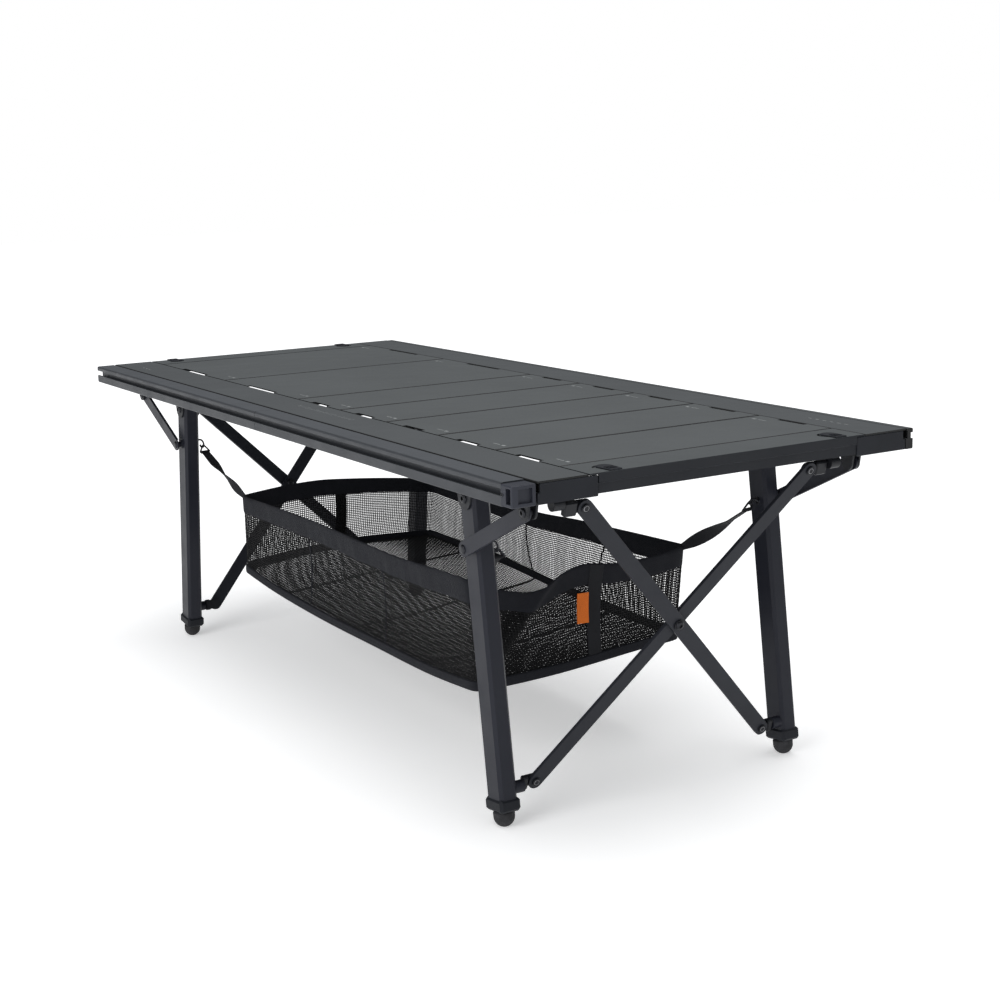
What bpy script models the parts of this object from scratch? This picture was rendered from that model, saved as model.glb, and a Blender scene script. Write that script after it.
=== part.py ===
"""Camp kitchen table: seven drop-in panels and two end beams in a folding frame of two box rails,
four splayed legs with struts, an X-brace at each end, a slotted accessory rail and a hanging basket.

Lengths are written in millimetres and scaled once, where the meshes are made. Local positions are
measured from the middle of the frame at tabletop height. +X is the right end, -Y the front side.
"""

import math

import bmesh
import bpy
from mathutils import Matrix, Vector

MM = 0.001
GAP = 0.3

# Frame
TABLE_HEIGHT = 410.0
HALF_LENGTH = 615.0
HALF_UNIT = 125.0
PANEL_FIELD = 1125.0
PANEL_REACH = 180.0
PANEL_DEPTH = 10.0
PANEL_SHEET = 1.6
PANEL_GAP = 1.0
PANEL_EDGE = 2.0
BEAM_DEPTH = 21.0
RAIL_SEAM = 1.6
RAIL_INNER = 168.9
RAIL_OUTER = 239.5
RAIL_HEIGHT = 23.3
RAIL_WALL = 2.0
TRIM_OUTER = 250.3
ACCESSORY_OUTER = 269.0
CAP_LENGTH = 20.5
FRAME_SHIFT = (ACCESSORY_OUTER - TRIM_OUTER) / 2

# Legs
LEG_X = 421.0
LEG_Y = 197.0
HINGE_DROP = 51.0
SPLAY = math.radians(7.0)
LEG_WIDTH = 31.0
LEG_DEPTH = 22.0
LEG_CHAMFER = 3.5
LEG_WALL = 2.0
LEG_TUBE = 341.0
COLLAR_TOP = 329.0
COLLAR_BOTTOM = 344.0
FOOT_RADIUS = 12.0
STUD_ALONG_LEG = 54.2
KNUCKLE_ALONG_LEG = 320.2
KNUCKLE_OFFSET = 7.0

# Struts
STRUT_X = 556.0
STRUT_DROP = 43.0
STRUT_WIDTH = 17.0
STRUT_INNER = 213.6
STRUT_OUTER = 217.4

# X-braces
BRACE_TOP_X = 560.0
BRACE_TOP_DROP = 44.5
BRACE_TOP_Y = 151.0
BRACE_FOOT_Y = 157.0
BAR_WIDTH = 18.0
BAR_THICKNESS = 4.5
KNUCKLE_RADIUS = 7.0

# Basket
BASKET_X = (-330.0, 325.0)
BASKET_Y = 158.0
BASKET_TOP = 175.0
BASKET_BOTTOM = 290.0
BASKET_WALL = 3.0
STRAP_END = (411.0, 176.0, -124.0)

AXES = {
    "X": Matrix(((0, 0, 1), (1, 0, 0), (0, 1, 0))),
    "Y": Matrix(((1, 0, 0), (0, 0, -1), (0, 1, 0))),
    "Z": Matrix.Identity(3),
}


def clear_scene():
    for obj in list(bpy.data.objects):
        bpy.data.objects.remove(obj, do_unlink=True)


def material(name, colour, roughness, metallic):
    made = bpy.data.materials.new(name)
    made.use_nodes = True
    shader = made.node_tree.nodes["Principled BSDF"]
    shader.inputs["Base Color"].default_value = (*colour, 1.0)
    shader.inputs["Roughness"].default_value = roughness
    shader.inputs["Metallic"].default_value = metallic
    return made


def link(obj, collection):
    collection.objects.link(obj)
    return obj


def finish_mesh(mesh):
    """Merges doubled points and turns every face outwards."""
    work = bmesh.new()
    work.from_mesh(mesh)
    bmesh.ops.remove_doubles(work, verts=work.verts, dist=1e-6)
    bmesh.ops.recalc_face_normals(work, faces=work.faces)
    work.to_mesh(mesh)
    work.free()


def prism(outline, length, axis="Z", holes=(), at=(0, 0, 0)):
    """A closed outline, with holes, drawn out along an axis and centred on it."""
    curve = bpy.data.curves.new("outline", "CURVE")
    curve.dimensions = "2D"
    curve.fill_mode = "BOTH"
    curve.extrude = length / 2 * MM
    for ring in (outline, *holes):
        spline = curve.splines.new("POLY")
        spline.points.add(len(ring) - 1)
        for point, (u, v) in zip(spline.points, ring):
            point.co = (u * MM, v * MM, 0, 1)
        spline.use_cyclic_u = True
    drawn = link(bpy.data.objects.new("outline", curve), SHAPES)
    bpy.context.view_layer.update()
    graph = bpy.context.evaluated_depsgraph_get()
    mesh = bpy.data.meshes.new_from_object(drawn.evaluated_get(graph))
    bpy.data.objects.remove(drawn)
    mesh.transform(Matrix.Translation(Vector(at) * MM) @ AXES[axis].to_4x4())
    finish_mesh(mesh)
    return link(bpy.data.objects.new("prism", mesh), SHAPES)


def box(low, high):
    mesh = bpy.data.meshes.new("box")
    work = bmesh.new()
    bmesh.ops.create_cube(work, size=1.0)
    size = [(abs(b - a)) * MM for a, b in zip(low, high)]
    middle = [(a + b) / 2 * MM for a, b in zip(low, high)]
    bmesh.ops.scale(work, vec=size, verts=work.verts)
    bmesh.ops.translate(work, vec=middle, verts=work.verts)
    work.to_mesh(mesh)
    work.free()
    return link(bpy.data.objects.new("box", mesh), SHAPES)


def cylinder(radius, start, end, axis, at, sides=24):
    """A rod along an axis from start to end, whose axis passes through the two other values in at."""
    mesh = bpy.data.meshes.new("rod")
    work = bmesh.new()
    bmesh.ops.create_cone(
        work, cap_ends=True, segments=sides, radius1=radius * MM, radius2=radius * MM, depth=abs(end - start) * MM
    )
    work.to_mesh(mesh)
    work.free()
    middle = Vector({"X": (0, *at), "Y": (at[0], 0, at[1]), "Z": (*at, 0)}[axis])
    middle["XYZ".index(axis)] = (start + end) / 2
    mesh.transform(Matrix.Translation(middle * MM) @ AXES[axis].to_4x4())
    finish_mesh(mesh)
    return link(bpy.data.objects.new("rod", mesh), SHAPES)


def rounded_bar(length, width, overhang=0.0):
    """Outline of a bar along U from 0 to length, with half-round ends about both points."""
    radius = width / 2
    turns = [math.radians(a) for a in range(-90, 91, 15)]
    right = [(length + radius * math.cos(t), radius * math.sin(t)) for t in turns]
    left = [(-overhang - radius * math.cos(t), -radius * math.sin(t)) for t in turns]
    return right + left


def chamfered(width, depth, chamfer):
    w, d = width / 2, depth / 2
    return [
        (w - chamfer, -d), (w, -d + chamfer), (w, d - chamfer), (w - chamfer, d),
        (chamfer - w, d), (-w, d - chamfer), (-w, chamfer - d), (chamfer - w, -d),
    ]


def boolean(target, tools, operation):
    for tool in tools:
        step = target.modifiers.new(operation.lower(), "BOOLEAN")
        step.operation = operation
        step.solver = "EXACT"
        step.object = tool
    bpy.context.view_layer.update()
    graph = bpy.context.evaluated_depsgraph_get()
    mesh = bpy.data.meshes.new_from_object(target.evaluated_get(graph))
    target.modifiers.clear()
    target.data = mesh
    finish_mesh(mesh)
    for tool in tools:
        bpy.data.objects.remove(tool)
    return target


def cut(target, *tools):
    return boolean(target, tools, "DIFFERENCE")


def join(target, *tools):
    return boolean(target, tools, "UNION")


def bevel(target, width, angle=60):
    step = target.modifiers.new("edges", "BEVEL")
    step.width = width * MM
    step.segments = 1
    step.limit_method = "ANGLE"
    step.angle_limit = math.radians(angle)
    bpy.context.view_layer.update()
    graph = bpy.context.evaluated_depsgraph_get()
    target.data = bpy.data.meshes.new_from_object(target.evaluated_get(graph))
    target.modifiers.clear()
    finish_mesh(target.data)
    return target


def place(obj, name, colour, parent, at=(0, 0, 0), turn=None, smooth=False):
    """Names a finished shape, gives it its own material and hangs it on its parent."""
    obj.name = name
    obj.data.name = name
    obj.data.materials.clear()
    obj.data.materials.append(material(name, *colour))
    if smooth:
        obj.data.shade_smooth()
        obj.data.set_sharp_from_angle(angle=math.radians(35))
    SHAPES.objects.unlink(obj)
    PARTS.objects.link(obj)
    obj.parent = parent
    obj.location = Vector(at) * MM
    if turn is not None:
        obj.rotation_euler = turn
    return obj


def copy_of(obj):
    return link(bpy.data.objects.new("copy", obj.data.copy()), SHAPES)


def frame(name, at, turn=(0, 0, 0), parent=None):
    """An empty that carries the pieces of one moving body; its origin is on the joint's axis."""
    empty = bpy.data.objects.new(name, None)
    empty.empty_display_size = 0.03
    empty.location = Vector(at) * MM
    empty.rotation_euler = turn
    empty.parent = parent
    PARTS.objects.link(empty)
    return empty


ANODISED = ((0.115, 0.125, 0.122), 0.5, 0.6)
RAIL_GREY = ((0.10, 0.11, 0.112), 0.5, 0.6)
LEG_GREY = ((0.03, 0.033, 0.042), 0.5, 0.4)
BAR_GREY = ((0.03, 0.032, 0.038), 0.55, 0.4)
BRACKET = ((0.018, 0.019, 0.023), 0.5, 0.3)
PLASTIC = ((0.035, 0.037, 0.05), 0.6, 0.0)
RUBBER = ((0.012, 0.012, 0.014), 0.8, 0.0)
MESH_FABRIC = ((0.012, 0.012, 0.014), 0.9, 0.0)


def rail_outline(side):
    outer = [
        (RAIL_OUTER, -1.0), (RAIL_OUTER - 0.3, -0.3), (RAIL_OUTER - 1.0, 0), (PANEL_REACH + GAP + 1.2, 0),
        (PANEL_REACH + GAP + 0.35, -0.35), (PANEL_REACH + GAP, -1.2), (PANEL_REACH + GAP, -PANEL_DEPTH - GAP),
        (RAIL_INNER, -PANEL_DEPTH - GAP), (RAIL_INNER, -RAIL_HEIGHT), (RAIL_OUTER, -RAIL_HEIGHT),
        (RAIL_OUTER, -11.5), (RAIL_OUTER - 3, -11.5), (RAIL_OUTER - 3, -2.5), (RAIL_OUTER, -2.5),
    ]
    w = RAIL_WALL
    hollow = [
        (PANEL_REACH + w + GAP, -w), (RAIL_OUTER - 5, -w), (RAIL_OUTER - 5, -13.5), (RAIL_OUTER - w, -13.5),
        (RAIL_OUTER - w, w - RAIL_HEIGHT), (RAIL_INNER + w, w - RAIL_HEIGHT),
        (RAIL_INNER + w, -PANEL_DEPTH - GAP - w), (PANEL_REACH + w + GAP, -PANEL_DEPTH - GAP - w),
    ]
    return [(side * t, z) for t, z in outer], [(side * t, z) for t, z in hollow]


def build_rails(table):
    plug_depth = 3.0
    for side, where in ((-1, "front"), (1, "rear")):
        outer, hollow = rail_outline(side)
        rail = prism(outer, 2 * HALF_LENGTH, "X", [hollow])
        rebates = []
        for end in (-1, 1):
            low = (end * (HALF_LENGTH - plug_depth), side * (RAIL_INNER - 5), -RAIL_HEIGHT - 5)
            high = (end * (HALF_LENGTH + 5), side * (RAIL_OUTER + 5), 0.1 - RAIL_WALL)
            rebates.append(box(low, high))
        place(cut(rail, *rebates), "rail_" + where, RAIL_GREY, table)
        for end, hand in ((-1, "left"), (1, "right")):
            face = [
                (side * RAIL_INNER, -2.2), (side * (RAIL_OUTER - 3), -2.2), (side * (RAIL_OUTER - 3), -11.5),
                (side * RAIL_OUTER, -11.5), (side * RAIL_OUTER, -RAIL_HEIGHT), (side * RAIL_INNER, -RAIL_HEIGHT),
            ]
            thick = plug_depth - GAP
            middle = end * (HALF_LENGTH - thick / 2)
            flange = bevel(prism(face, thick, "X", at=(middle, 0, 0)), 0.8)
            low = (end * (HALF_LENGTH - 16), side * (PANEL_REACH + 4), -20.5)
            high = (end * (HALF_LENGTH - thick / 2), side * (RAIL_OUTER - 6.5), -3.5)
            place(join(flange, box(low, high)), f"rail_plug_{where}_{hand}", PLASTIC, table)


def slotted_outline(inner, outer, mouth, pocket, radius):
    """Outline of an edge extrusion with a T-slot in its outer face and a groove in its inner face."""
    top, foot = -0.3, -RAIL_HEIGHT - 1.2
    lip = RAIL_OUTER + RAIL_SEAM
    shoulder = [
        (outer - radius + radius * math.sin(math.radians(a)), top - radius + radius * math.cos(math.radians(a)))
        for a in range(0, 91, 30)
    ]
    return [
        (lip, top - 1), (lip + 0.3, top - 0.3), (lip + 1, top), *shoulder, (outer, mouth[1]), (outer - 2.4, mouth[1]), (outer - 2.4, pocket[1]),
        (outer - 7.5, pocket[1]), (outer - 7.5, pocket[0]), (outer - 2.4, pocket[0]), (outer - 2.4, mouth[0]),
        (outer, mouth[0]), (outer, foot + 1), (outer - 1, foot), (inner, foot), (inner, -11.5),
        (inner + 2.5, -11.5), (inner + 2.5, -2.8), (lip, -2.8),
    ]


def build_accessory_rail(table):
    inner = RAIL_OUTER + GAP + 0.1
    outer = ACCESSORY_OUTER - 1
    outline = slotted_outline(inner, outer, (-13.8, -6.6), (-16.2, -4.6), 2.4)
    hollow = [(inner + 4.5, -2.6), (outer - 9.5, -2.6), (outer - 9.5, -21.3), (inner + 4.5, -21.3)]
    outline = [(-t, z) for t, z in outline]
    hollow = [(-t, z) for t, z in hollow]
    left_end = HALF_LENGTH - 2.8
    right_end = HALF_LENGTH - CAP_LENGTH - GAP
    for name, low, high in (
        ("accessory_rail_left", -left_end, -0.5),
        ("accessory_rail_right", 0.5, right_end),
    ):
        bar = prism(outline, high - low, "X", [hollow], at=((low + high) / 2, 0, 0))
        place(bar, name, ANODISED, table, smooth=True)
    cover = prism(outline, 2.5, "X", at=(1.25 - HALF_LENGTH, 0, 0))
    place(cover, "accessory_cap_left", PLASTIC, table)
    y_in, y_out = -inner - 1, -ACCESSORY_OUTER
    cap = bevel(box((HALF_LENGTH - CAP_LENGTH, y_out, -23.4), (HALF_LENGTH, y_in, -1.6)), 1.0)
    cap = cut(
        cap,
        box((HALF_LENGTH - 10.5, y_out - 5, -20.0), (HALF_LENGTH - 2.0, y_out + 5.5, -4.6)),
        box((HALF_LENGTH - 3.0, y_out + 7.5, -19.6), (HALF_LENGTH + 5, y_in - 4.5, -5.2)),
    )
    stub = box((right_end - 10, -outer + 10, -20.5), (HALF_LENGTH - CAP_LENGTH + 2, -inner - 5.2, -3.4))
    place(join(cap, stub), "accessory_cap_right", PLASTIC, table)


def build_trim(table):
    inner = RAIL_OUTER + GAP + 0.1
    lip = RAIL_OUTER + RAIL_SEAM
    outline = [
        (lip, -0.3), (TRIM_OUTER - 1.2, -0.3), (TRIM_OUTER, -1.5), (TRIM_OUTER, -5.2), (TRIM_OUTER - 3, -5.2),
        (TRIM_OUTER - 3, -12), (TRIM_OUTER, -12), (TRIM_OUTER, 1 - RAIL_HEIGHT), (TRIM_OUTER - 1, -RAIL_HEIGHT),
        (inner, -RAIL_HEIGHT), (inner, -11.5), (inner + 2.5, -11.5), (inner + 2.5, -2.8), (lip, -2.8),
    ]
    place(prism(outline, 2 * HALF_LENGTH, "X"), "rail_trim_rear", RAIL_GREY, table)


def panel_shape(width, slot):
    """A tray: a sheet with turned-down edges and a finger slot in the middle of each end."""
    half = width / 2 - PANEL_GAP
    reach = PANEL_REACH - PANEL_GAP
    wall = PANEL_SHEET
    lip = [(0.29 * PANEL_EDGE, -0.29 * PANEL_EDGE), (PANEL_EDGE, 0)]
    outline = [(-half, -PANEL_DEPTH), (-half, -PANEL_EDGE), *((t - half, z) for t, z in lip)]
    outline += [(-t, z) for t, z in reversed(outline)]
    shape = prism(outline, 2 * reach, "Y")
    inside = box((wall - half, wall - reach, -PANEL_DEPTH - 5), (half - wall, reach - wall, -wall))
    slots = [
        box((-slot / 2, side * (PANEL_REACH - 6.8), -PANEL_DEPTH - 5), (slot / 2, side * (PANEL_REACH + 5), 5))
        for side in (-1, 1)
    ]
    return cut(shape, inside, *slots)


def build_panels(table):
    shapes = {2: panel_shape(2 * HALF_UNIT, 92.0), 1: panel_shape(HALF_UNIT, 46.0)}
    start = -PANEL_FIELD / 2
    for number, units in enumerate((2, 2, 1, 1, 1, 1, 1), 1):
        width = units * HALF_UNIT
        panel = copy_of(shapes[units])
        place(panel, f"panel_{number}", ANODISED, table, at=(start + width / 2, 0, 0))
        start += width
    for shape in shapes.values():
        bpy.data.objects.remove(shape)


def latch_slot(hand, side):
    """Outline of the narrow curved slot round a latch's thumb tab."""
    middle = Vector((HALF_LENGTH - 22.0, 147.0))
    turns = [math.radians(a) for a in range(-75, 196, 15)]
    outer = [(middle.x - 12.5 * math.cos(t), middle.y - 12.5 * math.sin(t)) for t in turns]
    inner = [(middle.x - 9.5 * math.cos(t), middle.y - 9.5 * math.sin(t)) for t in reversed(turns)]
    return [(hand * x, side * y) for x, y in outer + inner]


def build_end_beams(table):
    seam = PANEL_FIELD / 2 + PANEL_GAP
    end = HALF_LENGTH
    sheet = 2.0
    for hand, name in ((-1, "left"), (1, "right")):
        outline = [
            (seam, -PANEL_DEPTH), (seam, 0), (end - 0.8, 0), (end, -0.8), (end, -9.8), (end - 1.5, -11), (end - 1.5, -BEAM_DEPTH),
            (end - 1.5 - sheet, -BEAM_DEPTH), (end - 1.5 - sheet, -10.4), (end - sheet, -9.2), (end - sheet, -sheet),
            (seam + sheet, -sheet), (seam + sheet, -PANEL_DEPTH),
        ]
        beam = prism([(hand * x, z) for x, z in outline], 2 * (PANEL_REACH - PANEL_GAP), "Y")
        cheeks = []
        cuts = []
        for side in (-1, 1):
            low = (hand * (end - 12), side * 168.3, -30)
            cuts.append(box(low, (hand * (end + 5), side * (PANEL_REACH + 5), 0.3 - sheet)))
            low = (hand * (seam + 1), side * (PANEL_REACH - PANEL_GAP - sheet), -PANEL_DEPTH)
            cheeks.append(box(low, (hand * (end - 14), side * (PANEL_REACH - PANEL_GAP - 0.4), -1.3)))
            cuts.append(prism(latch_slot(hand, side), 10, "Z"))
        beam = cut(join(beam, *cheeks), *cuts)
        place(beam, "end_beam_" + name, ANODISED, table)


def leg_tube(sx, sy):
    tube = prism(
        chamfered(LEG_WIDTH, LEG_DEPTH, LEG_CHAMFER),
        LEG_TUBE + 14,
        "Z",
        [chamfered(LEG_WIDTH - 2 * LEG_WALL, LEG_DEPTH - 2 * LEG_WALL, LEG_CHAMFER - 1)],
        at=(0, 0, (14 - LEG_TUBE) / 2),
    )
    face = LEG_DEPTH / 2
    stud = cylinder(4.0, sy * (face - 1.5), sy * (STRUT_OUTER - LEG_Y - 2.6), "Y", (0, -STUD_ALONG_LEG))
    collar = cylinder(6.5, sy * (face - 1.5), sy * (face + 1.5), "Y", (0, -STUD_ALONG_LEG))
    boss_at = (sx * KNUCKLE_OFFSET, -KNUCKLE_ALONG_LEG)
    boss = cylinder(KNUCKLE_RADIUS, sy * (1.5 - face), -sy * (LEG_Y - 174.5), "Y", boss_at)
    tube = join(tube, stud, collar, boss)
    return cut(tube, cylinder(4.4, -20, 20, "Y", (0, 0)))


def collar_shape():
    sleeve = bevel(box((-17.6, -13.1, -COLLAR_BOTTOM), (17.6, 13.1, -COLLAR_TOP)), 3.0)
    room = prism(
        chamfered(LEG_WIDTH + 2 * GAP, LEG_DEPTH + 2 * GAP, LEG_CHAMFER),
        LEG_TUBE - COLLAR_TOP + GAP + 5,
        "Z",
        at=(0, 0, (5 - COLLAR_TOP - LEG_TUBE - GAP) / 2),
    )
    return cut(sleeve, room, cylinder(5.4, -COLLAR_BOTTOM - 5, -LEG_TUBE + 5, "Z", (0, 0)))


def foot_shape(sx):
    """A domed rubber foot on its threaded stud, with a flat that stands level on the ground."""
    length = (TABLE_HEIGHT - HINGE_DROP) / math.cos(SPLAY)
    centre = length - FOOT_RADIUS * 0.93
    neck = COLLAR_BOTTOM + GAP
    profile = [(0, -centre - FOOT_RADIUS)]
    for angle in range(15, 91, 15):
        turn = math.radians(angle)
        profile.append((FOOT_RADIUS * math.sin(turn), -centre - FOOT_RADIUS * math.cos(turn)))
    profile += [(FOOT_RADIUS, -neck - 1.5), (FOOT_RADIUS - 1.5, -neck), (5.0, -neck), (5.0, -306), (0, -306)]
    mesh = bpy.data.meshes.new("foot")
    points = [(r * MM, 0, z * MM) for r, z in profile]
    mesh.from_pydata(points, [(i, i + 1) for i in range(len(points) - 1)], [])
    foot = link(bpy.data.objects.new("foot", mesh), SHAPES)
    turn = foot.modifiers.new("turn", "SCREW")
    turn.axis = "Z"
    turn.steps = 24
    turn.render_steps = 24
    turn.use_merge_vertices = True
    turn.merge_threshold = 1e-5
    bpy.context.view_layer.update()
    graph = bpy.context.evaluated_depsgraph_get()
    foot.data = bpy.data.meshes.new_from_object(foot.evaluated_get(graph))
    foot.modifiers.clear()
    finish_mesh(foot.data)
    ground = box((-30, -30, -30), (30, 30, 0))
    level = Matrix.Rotation(sx * SPLAY, 4, "Y")
    middle = level @ Vector((sx * math.tan(SPLAY) * (TABLE_HEIGHT - HINGE_DROP), 0, HINGE_DROP - TABLE_HEIGHT))
    ground.data.transform(Matrix.Translation(middle * MM) @ level)
    return cut(foot, ground)


def hinge_bracket(sx, sy):
    """A plate under the rail with two ears and the pin that the leg turns on."""
    under = -RAIL_HEIGHT - GAP
    x, y, z = sx * LEG_X, sy * LEG_Y, -HINGE_DROP
    plate = box((x - 26, y - 25, under - 2.5), (x + 26, y + 25, under))
    ears = []
    for offset in (-1, 1):
        inner = y + offset * (LEG_DEPTH / 2 + 0.4)
        outer = inner + offset * 2.0
        turns = [math.radians(a) for a in range(180, 361, 20)]
        outline = [(x + 13 * math.cos(t), z + 13 * math.sin(t)) for t in turns]
        outline += [(x + 20, under - 8), (x + 20, under - 1), (x - 20, under - 1), (x - 20, under - 8)]
        ears.append(prism(outline, 2.0, "Y", at=(0, (inner + outer) / 2, 0)))
    reach = LEG_DEPTH / 2 + 1.4
    pin = cylinder(4.0, y - reach, y + reach, "Y", (x, z))
    return join(plate, *ears, pin)


def rail_end_bracket(sx, sy):
    """A plate under the rail's end with the strut's two ears and pin and the brace's fixed knuckle."""
    under = -RAIL_HEIGHT - GAP
    x, z = sx * STRUT_X, -STRUT_DROP
    low = (x - 20, sy * 172.5, under - 2.5)
    plate = box(low, (x + 20, sy * 220.5, under))
    ears = []
    for inner, outer in ((208.0, 210.5), (217.9, 220.4)):
        turns = [math.radians(a) for a in range(180, 361, 20)]
        outline = [(x + 8.5 * math.cos(t), z + 8.5 * math.sin(t)) for t in turns]
        outline += [(x + 12, under - 1), (x - 12, under - 1)]
        ears.append(prism(outline, outer - inner, "Y", at=(0, sy * (inner + outer) / 2, 0)))
    pin = cylinder(3.5, sy * 209.0, sy * 219.0, "Y", (x, z))
    centre = (sx * BRACE_TOP_X, 6.0 - BRACE_TOP_DROP)
    knuckle = cylinder(KNUCKLE_RADIUS, sy * 176.5, sy * 189.5, "Y", centre)
    neck = box((centre[0] - 5, sy * 178.0, centre[1]), (centre[0] + 5, sy * 188.0, under - 1))
    return join(plate, *ears, pin, knuckle, neck)


def strut_shape(length, sx, sy):
    """A channel from its top pin at the origin along -X (or +X) with its open side to the leg."""
    web = prism(rounded_bar(length, STRUT_WIDTH), 2.0, "Y")
    depth = STRUT_OUTER - 2.0 - STRUT_INNER
    wings = []
    for edge in (-1, 1):
        z0, z1 = edge * STRUT_WIDTH / 2, edge * (STRUT_WIDTH / 2 - 1.8)
        wings.append(box((0, -sy * (depth + 0.9), min(z0, z1)), (length - 2, sy * 0.1, max(z0, z1))))
    shape = join(web, *wings)
    shape = cut(shape, cylinder(3.9, -10, 10, "Y", (0, 0)))
    if sx > 0:
        shape.data.transform(Matrix.Rotation(math.pi, 4, "Y"))
    return shape


def build_leg_set(table, sx, sy, where):
    hinge = frame("leg_joint_" + where, (sx * LEG_X, sy * LEG_Y, -HINGE_DROP), (0, -sx * SPLAY, 0), table)
    place(leg_tube(sx, sy), "leg_" + where, LEG_GREY, hinge)
    place(collar_shape(), "leg_collar_" + where, PLASTIC, hinge)
    place(foot_shape(sx), "foot_" + where, RUBBER, hinge, smooth=True)
    place(hinge_bracket(sx, sy), "leg_bracket_" + where, BRACKET, table)
    place(rail_end_bracket(sx, sy), "rail_end_bracket_" + where, BRACKET, table)
    stud = Vector((math.sin(SPLAY) * STUD_ALONG_LEG + LEG_X, -math.cos(SPLAY) * STUD_ALONG_LEG - HINGE_DROP))
    reach = Vector((STRUT_X, -STRUT_DROP)) - stud
    shape = strut_shape(reach.length, sx, sy)
    tilt = math.atan2(reach.y, reach.x)
    middle = sy * (STRUT_OUTER - 1.0)
    at = (sx * STRUT_X, middle, -STRUT_DROP)
    place(shape, "strut_" + where, LEG_GREY, table, at=at, turn=(0, -sx * tilt, 0))


def brace_frame(sx):
    """Where the brace turns at the legs' knuckles, its lean from upright and its height in its own plane."""
    along, out = KNUCKLE_ALONG_LEG, KNUCKLE_OFFSET
    x = LEG_X + math.sin(SPLAY) * along + math.cos(SPLAY) * out
    z = -HINGE_DROP - math.cos(SPLAY) * along + math.sin(SPLAY) * out
    run, rise = BRACE_TOP_X - x, -BRACE_TOP_DROP - z
    return (sx * x, 0, z), sx * math.atan2(run, rise), math.hypot(run, rise)


def swivel_block(low_y, high_y, eye_y, eye_v, depth, hand):
    """A block beside the knuckle with a tongue behind the bar's eye and the rivet through it."""
    n0, n1 = depth
    tongue = 3.0
    outer = sorted((low_y, high_y))
    body = box((hand * (n0 - GAP - tongue), outer[0], eye_v - 8), (hand * n1, outer[1], eye_v + 8))
    body = bevel(body, 1.5)
    near = high_y if abs(high_y) < abs(low_y) else low_y
    way = -1 if eye_y < near else 1
    root = near - way * 3
    turns = [math.radians(a) for a in range(90, -91, -20)]
    outline = [(eye_y + way * 7 * math.cos(t), eye_v + 7 * math.sin(t)) for t in turns]
    outline += [(root, eye_v - 7), (root, eye_v + 7)]
    back = prism(outline, tongue - 0.6, "X", at=(hand * (n0 - GAP - tongue / 2), 0, 0))
    start, end = hand * (n0 - GAP - tongue / 2), hand * (n1 + 1.5)
    rivet = cylinder(2.8, start, end, "X", (eye_y, eye_v))
    head = cylinder(5.0, hand * (n1 + GAP), hand * (n1 + 1.8), "X", (eye_y, eye_v))
    return join(body, back, rivet, head)


def build_brace(table, sx, name):
    at, lean, height = brace_frame(sx)
    turn = frame("brace_joint_" + name, at, (0, lean, 0), table)
    layers = {"a": (0.4, 0.4 + BAR_THICKNESS), "b": (-0.4 - BAR_THICKNESS, -0.4)}
    crossing = height * BRACE_FOOT_Y / (BRACE_FOOT_Y + BRACE_TOP_Y)
    for letter, foot_side in (("a", 1), ("b", -1)):
        n0, n1 = layers[letter]
        foot = Vector((foot_side * BRACE_FOOT_Y, 0))
        top = Vector((-foot_side * BRACE_TOP_Y, height))
        way = top - foot
        bar = prism(rounded_bar(way.length, BAR_WIDTH), BAR_THICKNESS, "X")
        bar = bevel(bar, 1.2, 50)
        centre = way.length * BRACE_FOOT_Y / (BRACE_FOOT_Y + BRACE_TOP_Y)
        holes = [cylinder(3.2, -10, 10, "X", (u, 0)) for u in (0, centre, way.length)]
        bar = cut(bar, *holes)
        swing = (math.atan2(way.y, way.x), 0, 0)
        where = (sx * (n0 + n1) / 2, foot.x, foot.y)
        place(bar, f"brace_bar_{name}_{letter}", BAR_GREY, turn, at=where, turn=swing)
        side = foot_side
        low = swivel_block(side * 174.1, side * 166.5, side * BRACE_FOOT_Y, 0.0, (n0, n1), sx)
        place(low, f"brace_block_{name}_{letter}_bottom", BRACKET, turn)
        high = swivel_block(-side * 176.1, -side * 160.5, -side * BRACE_TOP_Y, height, (n0, n1), sx)
        place(high, f"brace_block_{name}_{letter}_top", BRACKET, turn)
    reach = 0.4 + BAR_THICKNESS + GAP
    pin = cylinder(2.8, -reach - 1, reach + 1, "X", (0, crossing))
    heads = [
        cylinder(6.5, side * reach, side * (reach + 1.5), "X", (0, crossing)) for side in (-1, 1)
    ]
    place(join(pin, *heads), "brace_pivot_" + name, BRACKET, turn)


def strap_bar(sx, sy):
    start = Vector((BASKET_X[1] if sx > 0 else BASKET_X[0], sy * BASKET_Y, -BASKET_TOP - 6))
    start += Vector((-sx * 2.0, -sy * 2.0, 0))
    end = Vector((sx * STRAP_END[0], sy * STRAP_END[1], STRAP_END[2]))
    way = end - start
    strap = box((0, -1.0, -9), (way.length, 1.0, 9))
    heading = math.atan2(way.y, way.x)
    climb = math.atan2(way.z, math.hypot(way.x, way.y))
    turn = Matrix.Rotation(heading, 4, "Z") @ Matrix.Rotation(-climb, 4, "Y")
    strap.data.transform(Matrix.Translation(start * MM) @ turn)
    return strap


def build_basket(table):
    wall = BASKET_WALL
    low = (BASKET_X[0], -BASKET_Y, -BASKET_BOTTOM)
    high = (BASKET_X[1], BASKET_Y, -BASKET_TOP)
    tray = bevel(box(low, high), 2.0)
    inside = box(
        (low[0] + wall, low[1] + wall, low[2] + wall), (high[0] - wall, high[1] - wall, high[2] + 20)
    )
    straps = [strap_bar(sx, sy) for sx in (-1, 1) for sy in (-1, 1)]
    tray = cut(join(tray, *straps), inside)
    place(tray, "storage_basket", MESH_FABRIC, table)


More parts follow.
